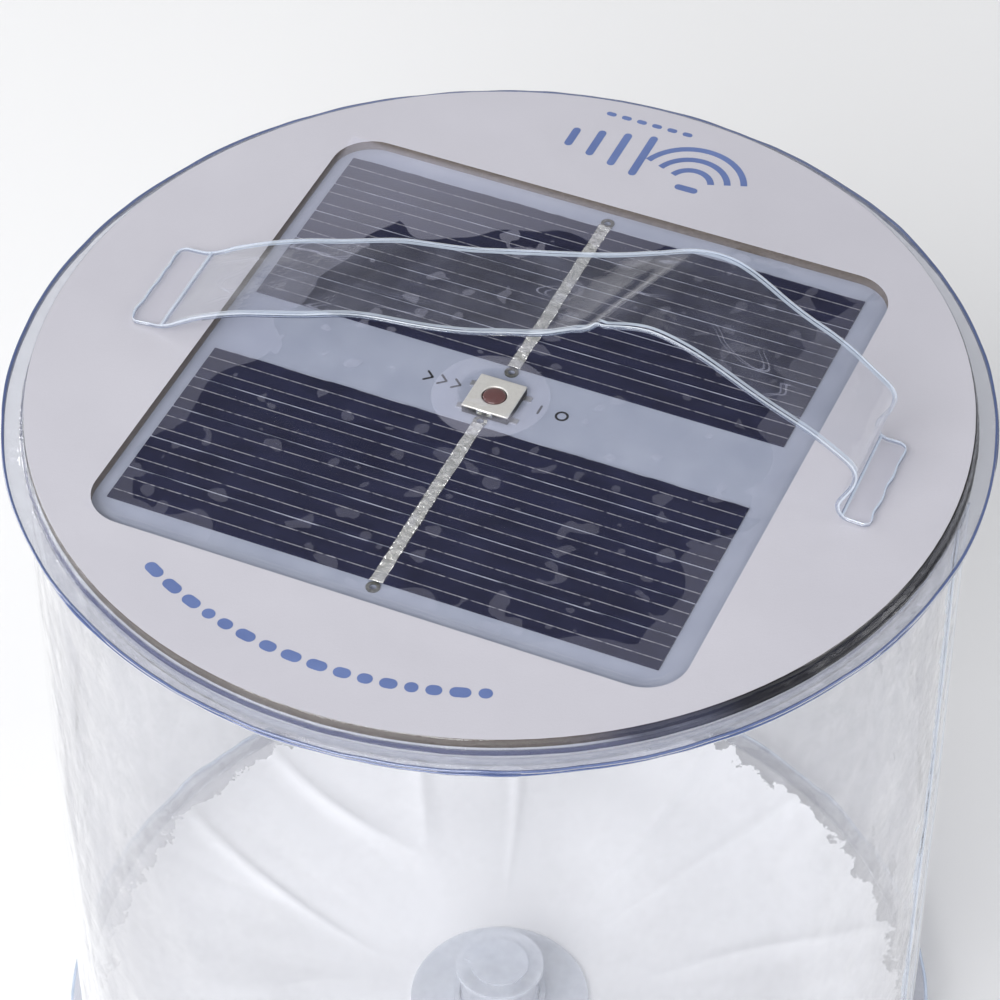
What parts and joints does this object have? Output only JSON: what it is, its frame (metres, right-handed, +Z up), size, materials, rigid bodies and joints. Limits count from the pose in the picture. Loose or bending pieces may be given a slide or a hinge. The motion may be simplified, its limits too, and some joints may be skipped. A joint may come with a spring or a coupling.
{
  "type": "solar lantern",
  "caption": "Inflatable clear solar lantern: round panel module with push switch and carry strap on an air-filled cylinder with a base valve.",
  "frame": {"origin": "centre of the base, on the surface that the lantern stands on", "axes": "+Z up along the cylinder, +X along the carry strap towards its right end, -Y is the front"},
  "size_m": [0.1248, 0.1248, 0.1444],
  "materials": {
    "clear_film": "glossy clear PVC film with faint ripples",
    "weld": "thick clear PVC, light blue on its edges",
    "printed_board": "satin white print",
    "panel_board": "light blue-grey solder mask",
    "solar_cell": "dark blue silicon with fine silver lines",
    "solder": "bright uneven solder",
    "clear_coat": "clear gloss coat",
    "switch_metal": "nickel-plated sheet",
    "switch_black": "moulded",
    "button_red": "moulded",
    "white_plastic": "satin white reflector plastic",
    "board_white": "white solder mask",
    "battery_foil": "pouch foil",
    "foam": "foam tape",
    "lead_red": "insulation",
    "led": "phosphor face in a white package",
    "valve_plastic": "soft clear PVC"
  },
  "bodies": {
    "base": {"bottom_film": "clear_film", "bottom_seam_ring": "weld", "side_wall": "clear_film", "wall_lap_seam": "weld", "valve_flange": "valve_plastic"},
    "valve_tube": {"valve_neck": "valve_plastic"},
    "valve_stopper": {"valve_plug": "valve_plastic"},
    "valve_check_flap": {"valve_flap": "valve_plastic"},
    "lamp_module": {"top_film": "clear_film", "top_seam_ring": "weld", "face_board": "printed_board", "panel_board": "panel_board", "cell_strips_rear": "solar_cell", "cell_strips_front": "solar_cell", "ribbon_rear": "solder", "ribbon_front": "solder", "plated_holes": "solder", "panel_coating": "clear_coat", "switch_base": "switch_black", "switch_cover": "switch_metal", "switch_terminals": "solder", "switch_dome": "switch_metal", "back_plate": "white_plastic", "battery_cover": "white_plastic", "battery": "battery_foil", "battery_tape": "foam", "battery_leads": "lead_red", "charge_chip": "switch_black", "led_board": "board_white", "leds": "led", "led_resistors": "switch_black", "driver_chip": "switch_black", "link_pins": "solder", "barrier_film": "clear_film", "strap_pad_left": "weld", "strap_pad_right": "weld", "strap_left_span": "weld", "strap_right_span": "weld"},
    "strap_handle": {"strap_grip": "weld"},
    "switch_button": {"switch_plunger": "button_red"}
  },
  "joints": [
    {"name": "collapse", "type": "slide", "parent": "base", "child": "lamp_module", "axis": [0, 0, 1], "range_m": [-0.096, 0], "stiffness_N_per_m": 120, "springref_m": 0.03, "deforming": ["side_wall", "wall_lap_seam"]},
    {"name": "switch_press", "type": "slide", "parent": "lamp_module", "child": "switch_button", "axis": [0, 0, -1], "range_m": [0, 0.0002], "stiffness_N_per_m": 4000, "springref_m": -0.0002, "deforming": ["switch_dome"]},
    {"name": "strap_lift", "type": "slide", "parent": "lamp_module", "child": "strap_handle", "axis": [0, 0, 1], "range_m": [0, 0.006], "deforming": ["strap_left_span", "strap_right_span"]},
    {"name": "valve_pull", "type": "slide", "parent": "base", "child": "valve_tube", "axis": [0, 0, -1], "range_m": [0, 0.0055]},
    {"name": "valve_open", "type": "hinge", "parent": "valve_tube", "child": "valve_stopper", "pos_m": [0.005, 0, 0.00055], "axis": [0, -1, 0], "range_deg": [0, 105]},
    {"name": "flap_swing", "type": "hinge", "parent": "valve_tube", "child": "valve_check_flap", "pos_m": [-0.005, 0, 0.00857], "axis": [0, -1, 0], "range_deg": [0, 50]}
  ]
}
